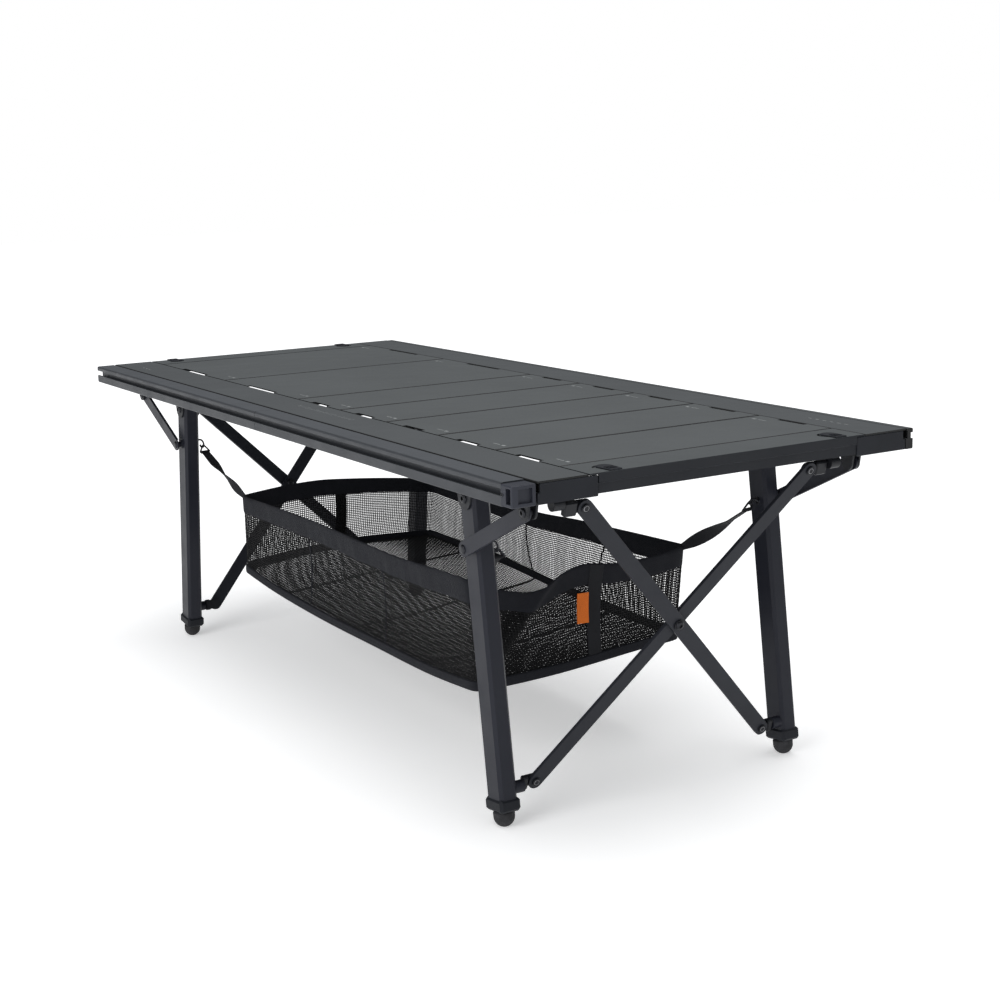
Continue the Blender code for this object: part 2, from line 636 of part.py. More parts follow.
clear_scene()
PARTS = bpy.data.collections.new("camp_kitchen_table")
SHAPES = bpy.data.collections.new("cutters")
bpy.context.scene.collection.children.link(PARTS)
bpy.context.scene.collection.children.link(SHAPES)

table_frame = frame("table_frame", (0, FRAME_SHIFT, TABLE_HEIGHT))
build_rails(table_frame)
build_accessory_rail(table_frame)
build_trim(table_frame)
build_panels(table_frame)
build_end_beams(table_frame)
for across, hand_name in ((-1, "left"), (1, "right")):
    for deep, side_name in ((-1, "front"), (1, "rear")):
        build_leg_set(table_frame, across, deep, f"{side_name}_{hand_name}")
    build_brace(table_frame, across, hand_name)
build_basket(table_frame)
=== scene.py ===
"""Camp kitchen table: the visual model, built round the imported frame.

Lengths are millimetres in the table's own axes, turned into the frame's metres by at(). The origin is
the middle of the rails at tabletop height, +X is the right end, -Y the front and +Z is up.
"""

import math

import bpy
import numpy as np
from mathutils import Matrix, Vector


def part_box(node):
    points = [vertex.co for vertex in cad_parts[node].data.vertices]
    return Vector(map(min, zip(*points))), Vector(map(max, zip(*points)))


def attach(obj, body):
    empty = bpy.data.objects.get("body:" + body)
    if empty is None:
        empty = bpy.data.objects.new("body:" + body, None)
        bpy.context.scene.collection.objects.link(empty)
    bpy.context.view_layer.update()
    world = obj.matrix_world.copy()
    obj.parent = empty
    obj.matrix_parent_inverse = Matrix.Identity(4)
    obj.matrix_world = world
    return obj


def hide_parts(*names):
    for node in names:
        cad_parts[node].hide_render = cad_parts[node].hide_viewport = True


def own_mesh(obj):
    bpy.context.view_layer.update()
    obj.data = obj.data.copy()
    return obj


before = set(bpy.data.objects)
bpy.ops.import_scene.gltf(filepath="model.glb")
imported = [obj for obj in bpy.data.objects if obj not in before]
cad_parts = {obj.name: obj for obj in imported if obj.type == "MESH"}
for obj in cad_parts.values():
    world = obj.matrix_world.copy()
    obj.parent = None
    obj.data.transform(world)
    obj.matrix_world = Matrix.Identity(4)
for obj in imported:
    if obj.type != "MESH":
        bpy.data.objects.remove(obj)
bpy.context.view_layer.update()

MM = 0.001
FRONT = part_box("rail_front")
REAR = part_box("rail_rear")
ORIGIN = np.array([
    (FRONT[0][0] + FRONT[1][0]) / 2,
    (FRONT[0][1] + REAR[1][1]) / 2,
    max(FRONT[1][2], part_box("panel_4")[1][2]),
])
SIDES = [("front", -1), ("rear", 1)]
ENDS = [("left", -1), ("right", 1)]
UP = np.array([0, 0, 1.0])


def at(points):
    """Table millimetres to frame metres, for one point or an array of them."""
    return np.asarray(points, float) * MM + ORIGIN


# ---------------------------------------------------------------------------------------------- camera

CAMERA_PLACE = (1958.1, -1086.5, 308.7)
CAMERA_AZIMUTH = math.radians(59.07)
CAMERA_ELEVATION = math.radians(11.59)
CAMERA_ROLL = math.radians(-1.61)
CAMERA_LENS = 61.0
CAMERA_SENSOR = 36.0


def build_camera():
    """A camera in front of the right end, a little above the tabletop, rolled slightly."""
    az, el, roll = CAMERA_AZIMUTH, CAMERA_ELEVATION, CAMERA_ROLL
    back = Vector((math.sin(az) * math.cos(el), -math.cos(az) * math.cos(el), math.sin(el)))
    right = (-back).cross(Vector((0, 0, 1))).normalized()
    up = right.cross(-back)
    across = right * math.cos(roll) + up * math.sin(roll)
    above = up * math.cos(roll) - right * math.sin(roll)
    data = bpy.data.cameras.new("camera")
    data.sensor_width = CAMERA_SENSOR
    data.lens = CAMERA_LENS
    camera = bpy.data.objects.new("camera", data)
    turn = Matrix((across, above, back)).transposed()
    camera.matrix_world = Matrix.Translation(Vector(at(CAMERA_PLACE))) @ turn.to_4x4()
    bpy.context.scene.collection.objects.link(camera)
    bpy.context.scene.camera = camera


# -------------------------------------------------------------------------------------------- materials


class Graph:
    """A material's nodes, built by short calls."""

    def __init__(self, name):
        self.material = bpy.data.materials.new(name)
        self.material.use_nodes = True
        self.tree = self.material.node_tree
        self.shader = self.tree.nodes["Principled BSDF"]

    def node(self, kind, **values):
        made = self.tree.nodes.new(kind)
        for key, value in values.items():
            setattr(made, key, value)
        return made

    def link(self, source, target):
        self.tree.links.new(source, target)

    def place(self, scale):
        """The object's own coordinates, in metres, stretched by scale."""
        where = self.node("ShaderNodeTexCoord")
        stretch = self.node("ShaderNodeMapping")
        stretch.inputs["Scale"].default_value = scale
        self.link(where.outputs["Object"], stretch.inputs["Vector"])
        return stretch.outputs["Vector"]

    def noise(self, scale, detail, stretch=(1, 1, 1), roughness=0.5):
        """Noise with scale cells to a metre, before the stretch."""
        made = self.node("ShaderNodeTexNoise")
        made.inputs["Scale"].default_value = scale
        made.inputs["Detail"].default_value = detail
        made.inputs["Roughness"].default_value = roughness
        self.link(self.place(stretch), made.inputs["Vector"])
        return made.outputs["Fac"]

    def spread(self, value, low, high, start=0.3, end=0.7):
        """A value from start to end becomes one from low to high."""
        made = self.node("ShaderNodeMapRange")
        for key, number in (("From Min", start), ("From Max", end), ("To Min", low), ("To Max", high)):
            made.inputs[key].default_value = number
        self.link(value, made.inputs["Value"])
        return made.outputs["Result"]

    def math(self, operation, first, second):
        made = self.node("ShaderNodeMath", operation=operation)
        for socket, value in zip(made.inputs, (first, second)):
            if isinstance(value, (int, float)):
                socket.default_value = value
            else:
                self.link(value, socket)
        return made.outputs["Value"]

    def ramp(self, value, stops):
        """Colours at (place, colour) stops, picked by a value."""
        made = self.node("ShaderNodeValToRGB")
        elements = made.color_ramp.elements
        while len(elements) < len(stops):
            elements.new(0.5)
        for element, (place, colour) in zip(elements, stops):
            element.position = place
            element.color = (*colour, 1.0)
        self.link(value, made.inputs["Fac"])
        return made.outputs["Color"]

    def mix(self, share, first, second):
        """The first colour turned into the second by a share."""
        made = self.node("ShaderNodeMix", data_type="RGBA")
        for socket, value in ((made.inputs[0], share), (made.inputs[6], first), (made.inputs[7], second)):
            if isinstance(value, tuple):
                socket.default_value = (*value, 1.0)
            else:
                self.link(value, socket)
        return made.outputs[2]

    def bump(self, height, depth, normal=None):
        """A height from 0 to 1 as relief of depth millimetres, over a normal where there is one."""
        made = self.node("ShaderNodeBump")
        made.inputs["Strength"].default_value = 1.0
        made.inputs["Distance"].default_value = depth * MM
        self.link(height, made.inputs["Height"])
        if normal is not None:
            self.link(normal, made.inputs["Normal"])
        return made.outputs["Normal"]

    def rounded(self, radius):
        """A normal that rounds every edge by radius millimetres."""
        made = self.node("ShaderNodeBevel", samples=6)
        made.inputs["Radius"].default_value = radius * MM
        return made.outputs["Normal"]

    def edges(self, radius):
        """1 near a sharp outer edge and 0 on the flat."""
        shape = self.node("ShaderNodeNewGeometry")
        dot = self.node("ShaderNodeVectorMath", operation="DOT_PRODUCT")
        self.link(self.rounded(radius), dot.inputs[0])
        self.link(shape.outputs["Normal"], dot.inputs[1])
        return self.spread(dot.outputs["Value"], 1.0, 0.0, 0.80, 0.99)

    def upright(self):
        """1 on a face whose normal is level in the object's own axes, 0 on one that faces up: the mask for
        painted shade on side faces.
        """
        where = self.node("ShaderNodeTexCoord")
        split = self.node("ShaderNodeSeparateXYZ")
        self.link(where.outputs["Normal"], split.inputs[0])
        return self.spread(self.math("ABSOLUTE", split.outputs["Z"], 0.0), 1.0, 0.0, 0.935, 0.975)

    def set(self, **values):
        """Sets or links the shader's inputs, named with _ for a space."""
        for key, value in values.items():
            socket = self.shader.inputs[key.replace("_", " ")]
            if isinstance(value, (int, float)):
                socket.default_value = value
            else:
                self.link(value, socket)


def tint(colour, share):
    """A colour made lighter or darker by a share."""
    return tuple(channel * share for channel in colour)


def coated_metal(name, colour, roughness, metallic, grain, worn, shine, radius=0.7, sides=None,
                 stretch=(1, 1, 1)):
    """Dark coated aluminium: fine speckle, slow cloudiness, rounded edges and a little wear on them.

    Edges are lighter by the share worn. Faces that stand upright take the sides colour, if given: painted
    shade, so that side faces and seams look as if in shade.
    """
    g = Graph(name)
    slow = g.noise(7, 3)
    fine = g.noise(1400, 1, stretch)
    base = g.ramp(slow, [(0.35, tint(colour, 0.93)), (0.65, tint(colour, 1.07))])
    speckled = g.mix(g.spread(fine, 0.0, 0.45), base, tint(colour, 1.25))
    rub = g.math("MULTIPLY", g.edges(1.1), g.spread(g.noise(55, 4), 0.0, 0.55, 0.42, 0.72))
    shade = g.mix(rub, speckled, tint(colour, worn))
    # Painted shade: upright faces take the darker sides colour.
    if sides:
        shade = g.mix(g.upright(), shade, g.mix(fine, tint(sides, 0.8), tint(sides, 1.2)))
    cloudy = g.spread(g.noise(30, 4), -0.05, 0.06)
    speckle = g.spread(fine, roughness - 0.03, roughness + 0.05)
    g.set(
        Base_Color=shade,
        Roughness=g.math("ADD", cloudy, speckle),
        Metallic=metallic,
        Specular_IOR_Level=shine,
        Normal=g.bump(fine, grain, g.rounded(radius)),
    )
    return g.material


def moulded_plastic(name, colour, roughness, grain=0.05, shine=0.4):
    """Moulded nylon: a spark-eroded texture, soft edges and slightly paler corners."""
    g = Graph(name)
    cells = g.node("ShaderNodeTexVoronoi", feature="SMOOTH_F1")
    cells.inputs["Scale"].default_value = 1500
    g.link(g.place((1, 1, 1)), cells.inputs["Vector"])
    texture = cells.outputs["Distance"]
    base = g.ramp(g.noise(18, 3), [(0.35, tint(colour, 0.9)), (0.65, tint(colour, 1.12))])
    g.set(
        Base_Color=g.mix(g.math("MULTIPLY", g.edges(0.9), 0.5), base, tint(colour, 1.5)),
        Roughness=g.spread(texture, roughness - 0.06, roughness + 0.08, 0.0, 0.6),
        Specular_IOR_Level=shine,
        Normal=g.bump(texture, grain, g.rounded(0.5)),
    )
    return g.material


def rubber(name, colour):
    """Moulded rubber that has picked up dust in patches."""
    g = Graph(name)
    dust = g.spread(g.noise(90, 5, roughness=0.65), 0.0, 0.7, 0.45, 0.7)
    fine = g.noise(900, 2)
    g.set(
        Base_Color=g.mix(dust, colour, tint(colour, 2.6)),
        Roughness=g.spread(fine, 0.72, 0.9),
        Normal=g.bump(fine, 0.06, g.rounded(0.6)),
    )
    return g.material


def steel(name, colour, roughness):
    """Blackened or plated steel of screws, rivets, hooks and rings."""
    g = Graph(name)
    fine = g.noise(700, 3)
    patches = g.noise(160, 4)
    g.set(
        Base_Color=g.ramp(patches, [(0.35, tint(colour, 0.8)), (0.7, tint(colour, 1.35))]),
        Roughness=g.spread(patches, roughness - 0.07, roughness + 0.1),
        Metallic=0.9,
        Normal=g.bump(fine, 0.03),
    )
    return g.material


def woven_tape(name, colour, scale=900, sheen=0.04):
    """Polyester webbing: fine diagonal ribs and a dry fuzz."""
    g = Graph(name)
    ribs = g.node("ShaderNodeTexWave", wave_type="BANDS", bands_direction="DIAGONAL", wave_profile="SIN")
    ribs.inputs["Scale"].default_value = scale
    ribs.inputs["Distortion"].default_value = 1.2
    ribs.inputs["Detail"].default_value = 1.0
    g.link(g.place((1, 1, 1)), ribs.inputs["Vector"])
    weave = ribs.outputs["Fac"]
    fuzz = g.noise(2200, 2)
    slow = g.noise(24, 4)
    thread = g.mix(weave, tint(colour, 0.72), tint(colour, 1.25))
    g.set(
        Base_Color=g.mix(g.spread(slow, 0.0, 0.5), thread, tint(colour, 1.45)),
        Roughness=g.spread(fuzz, 0.72, 0.92),
        Sheen_Weight=sheen,
        Sheen_Roughness=0.5,
        Specular_IOR_Level=0.2,
        Normal=g.bump(g.math("ADD", weave, g.math("MULTIPLY", fuzz, 0.4)), 0.08),
    )
    return g.material


def yarn(name, colour):
    """The basket's net: coated polyester yarn with a faint twist."""
    g = Graph(name)
    twist = g.noise(2600, 1)
    slow = g.noise(12, 4)
    g.set(
        Base_Color=g.mix(g.spread(slow, 0.0, 0.6), tint(colour, 0.85), tint(colour, 1.5)),
        Roughness=g.spread(twist, 0.6, 0.8),
        Specular_IOR_Level=0.2,
        Normal=g.bump(twist, 0.05),
    )
    return g.material


TOP_GREY = (0.066, 0.072, 0.074)
RAIL_GREY = (0.054, 0.059, 0.062)
# Painted shadow: near black on the upright faces of panels and rails, standing in for the shade in the seams
# between them.
SEAM_PAINTED_SHADE = (0.004, 0.0043, 0.0048)
# Painted shade: the end beams' side faces darker than their tops, as under light from above.
BEAM_PAINTED_SHADE = (0.013, 0.0145, 0.018)
EXTRUSION = (0.058, 0.063, 0.071)
# Painted shade: the accessory rail's upright faces darker than its top.
EXTRUSION_PAINTED_SHADE = (0.036, 0.039, 0.045)
TUBE_BLUE = (0.0145, 0.0158, 0.0228)
BAR_BLUE = (0.0165, 0.018, 0.0235)
BRACKET_BLACK = (0.010, 0.011, 0.014)
CAP_BLUE = (0.021, 0.0232, 0.033)
PLUG_BLACK = (0.0095, 0.0108, 0.0145)
RUBBER_BLACK = (0.014, 0.014, 0.016)
BLACK_STEEL = (0.03, 0.031, 0.035)
BARE_STEEL = (0.2, 0.2, 0.21)
WEBBING_BLACK = (0.012, 0.0125, 0.015)
EDGE_BLACK = (0.0085, 0.0093, 0.0130)
NET_BLACK = (0.0060, 0.0062, 0.0068)
TAB_ORANGE = (0.68, 0.155, 0.022)
INK = (0.24, 0.25, 0.25)


def dress_frame():
    """Gives every carried-over CAD node the finish of what it is made of, and returns the plugs' finish."""
    sheet = {"roughness": 0.55, "grain": 0.035, "worn": 1.1, "radius": 0.3}
    # The sides colours paint shade on upright faces: painted shadow in the seams of panels and rails, painted
    # shade on the beams' and the extrusion's sides.
    top = coated_metal("panel_coating", TOP_GREY, metallic=0.1, shine=0.35, sides=SEAM_PAINTED_SHADE, **sheet)
    beam = coated_metal("beam_coating", TOP_GREY, metallic=0.0, shine=0.2, sides=BEAM_PAINTED_SHADE, **sheet)
    rail = coated_metal("rail_coating", RAIL_GREY, metallic=0.05, shine=0.35, sides=SEAM_PAINTED_SHADE, **sheet)
    drawn = coated_metal("anodised_extrusion", EXTRUSION, 0.46, 0.2, 0.02, worn=1.5, shine=0.35, radius=0.5,
                         sides=EXTRUSION_PAINTED_SHADE, stretch=(0.02, 1, 1))
    tube = coated_metal("leg_coating", TUBE_BLUE, 0.4, 0.0, 0.03, worn=1.9, shine=0.2, radius=0.9)
    bar = coated_metal("bar_coating", BAR_BLUE, 0.45, 0.0, 0.04, worn=1.8, shine=0.2)
    bracket = coated_metal("bracket_coating", BRACKET_BLACK, 0.45, 0.0, 0.04, worn=2.2, shine=0.25)
    cap = moulded_plastic("moulded_caps", CAP_BLUE, 0.5, shine=0.3)
    plug = moulded_plastic("moulded_plugs", PLUG_BLACK, 0.5, shine=0.2)
    foot = rubber("foot_rubber", RUBBER_BLACK)
    # The first start that a name has decides, so leg_ comes after the longer ones, and brace_ too.
    finishes = [
        ("panel_", top), ("end_beam_", beam), ("rail_front", rail), ("rail_rear", rail), ("rail_trim_", rail),
        ("accessory_rail_", drawn), ("accessory_cap_", cap), ("rail_plug_", plug), ("leg_bracket_", bracket),
        ("rail_end_bracket_", bracket), ("leg_collar_", plug), ("leg_", tube), ("strut_", tube),
        ("foot_", foot), ("brace_bar_", bar), ("brace_", bracket),
    ]
    for name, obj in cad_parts.items():
        chosen = next((finish for start, finish in finishes if name.startswith(start)), None)
        if chosen is None:
            continue
        if not obj.data.materials:
            obj.data.materials.append(chosen)
        for slot in obj.material_slots:
            slot.material = chosen
    return plug


# ----------------------------------------------------------------------------------------- mesh builders


def new_piece(name, points, faces, finish, smooth=True):
    """A mesh object from table-millimetre points and quads or mixed faces."""
    mesh = bpy.data.meshes.new(name)
    faces = [tuple(int(i) for i in face) for face in faces]
    mesh.from_pydata([tuple(point) for point in at(points)], [], faces)
    mesh.validate()
    mesh.materials.append(finish)
    if smooth:
        mesh.shade_smooth()
        mesh.set_sharp_from_angle(angle=math.radians(40))
    obj = bpy.data.objects.new(name, mesh)
    bpy.context.scene.collection.objects.link(obj)
    return obj


def unit(vectors):
    """Vectors of length 1, along the last axis."""
    vectors = np.asarray(vectors, float)
    return vectors / np.maximum(np.linalg.norm(vectors, axis=-1, keepdims=True), 1e-9)


def sweep(centre, side, up, section, closed=False):
    """Points and faces of a section (pairs along side and up) carried along a line."""
    centre, side, up = (np.asarray(part, float) for part in (centre, side, up))
    side = np.broadcast_to(side, centre.shape)
    up = np.broadcast_to(up, centre.shape)
    section = np.asarray(section, float)
    if section.ndim == 2:
        section = np.broadcast_to(section, (len(centre), *section.shape))
    points = centre[:, None] + section[:, :, :1] * side[:, None] + section[:, :, 1:] * up[:, None]
    rings, count = points.shape[:2]
    faces = []
    for i in range(rings if closed else rings - 1):
        j = (i + 1) % rings
        for k in range(count):
            m = (k + 1) % count
            faces.append((i * count + k, i * count + m, j * count + m, j * count + k))
    if not closed:
        faces.append(tuple(range(count - 1, -1, -1)))
        faces.append(tuple((rings - 1) * count + k for k in range(count)))
    return points.reshape(-1, 3), faces


def merged(parts):
    """Several (points, faces) as one."""
    points, faces, start = [], [], 0
    for some, more in parts:
        points.append(np.asarray(some, float))
        faces += [tuple(i + start for i in face) for face in more]
        start += len(some)
    return np.concatenate(points), faces


def tape_section(width, thick):
    """A flat tape's outline, with soft corners."""
    w, t = width / 2, thick / 2
    c = min(t * 0.8, 0.6)
    return [(-w + c, -t), (w - c, -t), (w, -t + c), (w, t - c),
            (w - c, t), (-w + c, t), (-w, t - c), (-w, -t + c)]


def round_section(radius, sides=10):
    """A round wire's outline."""
    return [(radius * math.cos(t), radius * math.sin(t)) for t in np.linspace(0, 2 * math.pi, sides, False)]


def smooth_line(points, count):
    """A Catmull-Rom line through the points, evenly spaced."""
    points = np.asarray(points, float)
    padded = np.vstack([2 * points[0] - points[1], points, 2 * points[-1] - points[-2]])
    fine = []
    for a, b, c, d in zip(padded, padded[1:], padded[2:], padded[3:]):
        for t in np.linspace(0, 1, 24, False):
            fine.append(0.5 * (2 * b + (c - a) * t + (2 * a - 5 * b + 4 * c - d) * t * t
                               + (3 * b - a - 3 * c + d) * t ** 3))
    fine = np.array([*fine, points[-1]])
    along = np.concatenate([[0], np.cumsum(np.linalg.norm(np.diff(fine, axis=0), axis=1))])
    wanted = np.linspace(0, along[-1], count)
    return np.stack([np.interp(wanted, along, fine[:, k]) for k in range(3)], axis=1)


def wire(points, radius, count=40, closed=False):
    """A round wire bent through the points."""
    line = smooth_line([*points, points[0]] if closed else points, count + closed)
    if closed:
        line = line[:-1]
        ahead = unit(np.roll(line, -1, axis=0) - np.roll(line, 1, axis=0))
    else:
        ahead = unit(np.gradient(line, axis=0))
    side = np.cross(ahead[0], (0.31, 0.77, 0.56))
    sides = []
    for step in ahead:
        side = side - step * np.dot(side, step)
        side = side / np.linalg.norm(side)
        sides.append(side)
    return sweep(line, np.array(sides), np.cross(ahead, sides), round_section(radius), closed)


def screw_head(radius, height, centre, axis, hexed=True):
    """A button head with a hex recess, or a plain domed rivet head, standing on centre along axis."""
    sides = 24
    axis = unit(axis)
    first = unit(np.cross(axis, (0.2, 0.5, 0.84)))
    second = np.cross(axis, first)
    turns = np.linspace(0, 2 * math.pi, sides, False)
    rings = [(radius, -0.6), (radius, height * 0.25), (radius * 0.92, height * 0.62)]
    rings += [(radius * 0.7, height * 0.92)]
    hexagon = np.array([0.4 * radius / math.cos((t % (math.pi / 3)) - math.pi / 6) for t in turns])
    if hexed:
        rings += [(hexagon * 1.1, height), (hexagon, height * 0.95), (hexagon, height * 0.3)]
    else:
        rings += [(radius * 0.35, height)]
    points, faces = [], []
    for r, h in rings:
        r = np.broadcast_to(r, sides)
        points += [
            np.asarray(centre) + first * r[i] * math.cos(t) + second * r[i] * math.sin(t) + axis * h
            for i, t in enumerate(turns)
        ]
    for ring in range(len(rings) - 1):
        for i in range(sides):
            j = (i + 1) % sides
            a, b = ring * sides, (ring + 1) * sides
            faces.append((a + i, a + j, b + j, b + i))
    faces.append(tuple(range(sides - 1, -1, -1)))
    faces.append(tuple((len(rings) - 1) * sides + i for i in range(sides)))
    return np.array(points), faces


# ------------------------------------------------------------------------------------------------ basket

PITCH = 3.3
FLOOR_PITCH = 3.8
WALL_SPANS = (661, 315, 658, 323)
WALL_DROP = 118
FLOOR_SPANS = (658, 306)
BAND = 25.0
NET_START = 14
ROUND = ("front", "right", "rear", "left")
# Heights of the rim and the foot at places along each side, then their corners in plan.
RIM_KNOTS = {
    "front": [(-330, -175.5), (-185, -172), (-73, -171), (50, -173), (172, -174), (259, -170), (331, -168)],
    "right": [(-158, -168), (-135, -180), (-113, -188), (-94, -193), (-72, -197), (-58, -194), (-46, -188),
              (-26, -180), (-6, -175), (14, -175), (35, -179), (60, -181), (118, -179), (155, -174)],
    "rear": [(-330, -190), (-160, -193), (-11, -191), (90, -184), (161, -181), (228, -178), (328, -174)],
    "left": [(-158, -175.5), (-82, -169), (-30, -168), (20, -172), (109, -182), (165, -190)],
}
FOOT_KNOTS = {
    "front": [(-334, -285), (-240, -294), (-94, -301), (85, -303), (244, -303), (332, -298)],
    "right": [(-152, -298), (-101, -299), (-29, -298), (25, -295), (89, -291), (149, -289)],
    "rear": [(-326, -275), (-168, -276), (-83, -277), (18, -283), (150, -288), (322, -289)],
    "left": [(-158, -285), (-80, -277), (34, -271), (114, -274), (152, -276)],
}
RIM_CORNERS = [(-330, -158), (331, -158), (328, 157), (-330, 165)]
FOOT_CORNERS = [(-334, -157), (332, -152), (322, 149), (-326, 152)]


def curve_through(knots, places):
    """A smooth curve through (place, value) knots."""
    x, y = np.array(knots, float).T
    slope = np.gradient(y, x)
    i = np.clip(np.searchsorted(x, places) - 1, 0, len(x) - 2)
    h = x[i + 1] - x[i]
    t = np.clip((places - x[i]) / h, 0, 1)
    return (
        y[i] * (1 + 2 * t) * (1 - t) ** 2 + y[i + 1] * t * t * (3 - 2 * t)
        + slope[i] * h * t * (1 - t) ** 2 - slope[i + 1] * h * t * t * (1 - t)
    )


def basket_loop(corners, knots, counts):
    """One closed line round the basket, front, right, rear, left, with counts[i] steps on each side."""
    line = []
    for i, (name, count) in enumerate(zip(ROUND, counts)):
        a, b = np.array(corners[i], float), np.array(corners[(i + 1) % 4], float)
        share = np.linspace(0, 1, count, False)[:, None]
        plan = a + (b - a) * share
        along = plan[:, 0] if name in ("front", "rear") else plan[:, 1]
        line.append(np.column_stack([plan, curve_through(knots[name], along)]))
    line = np.concatenate(line)
    # The corners are softened by a running mean over the steps on both sides.
    steps = range(-6, 7)
    weights = np.exp(-0.5 * (np.array(steps) / 2.6) ** 2)
    weights /= weights.sum()
    return sum(w * np.roll(line, k, axis=0) for k, w in zip(steps, weights))


def crease(y, z):
    """How far the slack right end stands out: a fold from the rim's low point to the near corner."""
    width, height = 9.0, 11.0
    a, b = np.array([-62.0, -200.0]), np.array([-140.0, -292.0])
    way = (b - a) / np.linalg.norm(b - a)
    across = (y - a[0]) * -way[1] + (z - a[1]) * way[0]
    along = np.clip(((y - a[0]) * way[0] + (z - a[1]) * way[1]) / np.linalg.norm(b - a), 0, 1)
    ridge = np.exp(-((across / width) ** 2)) * np.sin(np.pi * np.clip(along * 0.85 + 0.15, 0, 1)) ** 0.7
    return height * ridge


def basket_walls():
    """The walls as an array of stations round the basket by steps down it.

    Returns them with their outward directions and the station where each side starts.
    """
    counts = [round(span / PITCH) for span in WALL_SPANS]
    rim = basket_loop(RIM_CORNERS, RIM_KNOTS, counts)
    foot = basket_loop(FOOT_CORNERS, FOOT_KNOTS, counts)
    ahead = unit(np.roll(rim, -1, axis=0) - np.roll(rim, 1, axis=0))
    outward = unit(np.column_stack([ahead[:, 1], -ahead[:, 0], np.zeros(len(ahead))]))
    starts = np.cumsum([0, *counts])
    inside = np.concatenate([
        np.sin(np.pi * np.linspace(0, 1, count, False)) ** 0.5 for count in counts
    ])
    steps = round(WALL_DROP / PITCH)
    share = np.linspace(0, 1, steps + 1)
    walls = rim[:, None] * (1 - share)[None, :, None] + foot[:, None] * share[None, :, None]
    bow = np.sin(np.pi * share)[None, :] * inside[:, None] * 6.0
    turns = np.arange(len(rim))
    ripple = (
        0.9 * np.sin(turns * 0.21) + 0.6 * np.sin(turns * 0.47 + 1.3) + 0.4 * np.sin(turns * 0.93 + 0.6)
    )[:, None] * (np.sin(np.pi * share) ** 0.8)[None, :] * inside[:, None]
    walls = walls - outward[:, None] * (bow + ripple)[..., None]
    right = slice(starts[1], starts[2])
    walls[right, :, 0] += crease(walls[right, :, 1], walls[right, :, 2]) * inside[right, None] ** 0.3
    return walls, outward, starts


def net(name, grid, finish, width=1.5, height=0.6):
    """A net of yarns along both directions of a grid of points.

    Each yarn is a closed three-sided strand, and passes over and under the ones that it crosses.
    """
    normal = surface_normals(grid)
    rows, columns = grid.shape[:2]
    lift = 0.22 * ((np.add.outer(np.arange(rows), np.arange(columns)) % 2) * 2 - 1)
    points, quads, caps, start = [], [], [], 0
    for line, facing, over in ((grid, normal, lift), (grid.swapaxes(0, 1), normal.swapaxes(0, 1), -lift.T)):
        across = unit(np.cross(unit(np.gradient(line, axis=0)), facing))
        middle = line + facing * over[..., None]
        corners = np.stack([
            middle - across * width / 2 - facing * height / 3,
            middle + across * width / 2 - facing * height / 3,
            middle + facing * height * 2 / 3,
        ], axis=2)
        index = start + np.arange(corners[..., 0].size).reshape(corners.shape[:3])
        a, b = index[:-1], index[1:]
        around = [a, np.roll(a, -1, axis=2), np.roll(b, -1, axis=2), b]
        quads.append(np.stack(around, axis=-1).reshape(-1, 4))
        caps += [index[0][:, ::-1], index[-1]]
        points.append(corners.reshape(-1, 3))
        start += len(points[-1])
    quads, caps = np.concatenate(quads), np.concatenate(caps)
    loops = np.concatenate([quads.ravel(), caps.ravel()]).astype(np.int32)
    loop_starts = np.concatenate([np.arange(len(quads)) * 4, quads.size + np.arange(len(caps)) * 3])
    mesh = bpy.data.meshes.new(name)
    mesh.vertices.add(start)
    mesh.vertices.foreach_set("co", at(np.concatenate(points)).astype(np.float32).ravel())
    mesh.loops.add(len(loops))
    mesh.loops.foreach_set("vertex_index", loops)
    mesh.polygons.add(len(quads) + len(caps))
    mesh.polygons.foreach_set("loop_start", loop_starts.astype(np.int32))
    mesh.update(calc_edges=True)
    mesh.materials.append(finish)
    obj = bpy.data.objects.new(name, mesh)
    bpy.context.scene.collection.objects.link(obj)

    return obj


def surface_normals(grid):
    """The directions that a grid of points faces."""
    return unit(np.cross(np.gradient(grid, axis=0), np.gradient(grid, axis=1)))


def floor_grid(walls, starts):
    """The floor between the feet of the four walls, sagging in the middle."""
    foot = walls[:, -1]
    front, right = foot[starts[0]:starts[1] + 1], foot[starts[1]:starts[2] + 1]
    rear, left = foot[starts[2]:starts[3] + 1][::-1], np.vstack([foot[starts[3]:], foot[:1]])[::-1]
    across, deep = (round(span / FLOOR_PITCH) for span in FLOOR_SPANS)

    def evenly(line, count):
        where = np.linspace(0, len(line) - 1, count + 1)
        return np.stack([np.interp(where, np.arange(len(line)), line[:, k]) for k in range(3)], axis=1)

    front, rear = evenly(front, across), evenly(rear, across)
    left, right = evenly(left, deep), evenly(right, deep)
    u = np.linspace(0, 1, across + 1)[:, None, None]
    v = np.linspace(0, 1, deep + 1)[None, :, None]
    grid = (
        front[:, None] * (1 - v) + rear[:, None] * v + left[None] * (1 - u) + right[None] * u
        - front[0] * (1 - u) * (1 - v) - front[-1] * u * (1 - v) - rear[0] * (1 - u) * v - rear[-1] * u * v
    )
    sag, wave = 9.0, 1.2
    inside = (np.sin(np.pi * u) * np.sin(np.pi * v))[..., 0] ** 0.6
    ripple = wave * np.sin(9 * u + 2.2 * np.sin(5 * v))[..., 0] * inside
    grid[..., 2] -= sag * inside + ripple
    return grid


